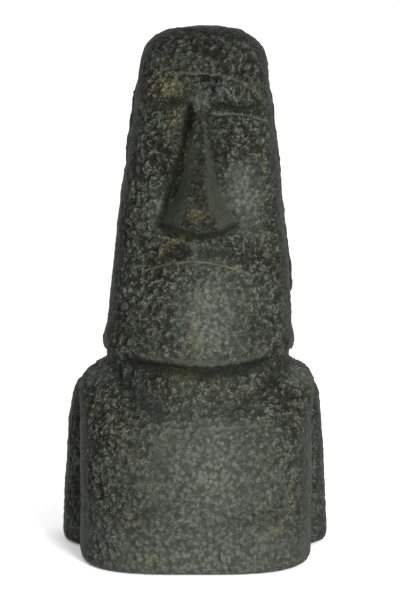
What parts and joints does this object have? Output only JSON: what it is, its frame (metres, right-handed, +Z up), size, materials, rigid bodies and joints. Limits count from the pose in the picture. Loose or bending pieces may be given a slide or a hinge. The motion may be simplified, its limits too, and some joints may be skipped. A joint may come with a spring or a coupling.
{
  "type": "moai head statue",
  "caption": "Moai statue: long stone head with a heavy brow, long nose and thin mouth on a cut-off chest with arms at its sides, standing on its flat underside.",
  "frame": {"origin": "middle of the statue's width and depth, on the floor under its flat underside", "axes": "+Z up the statue, +X to the right of someone looking at its face, -Y the way the face looks"},
  "size_m": [0.528, 0.37, 1],
  "materials": {
    "stone": "matte"
  },
  "bodies": {
    "root": {"moai": "stone"}
  },
  "joints": []
}
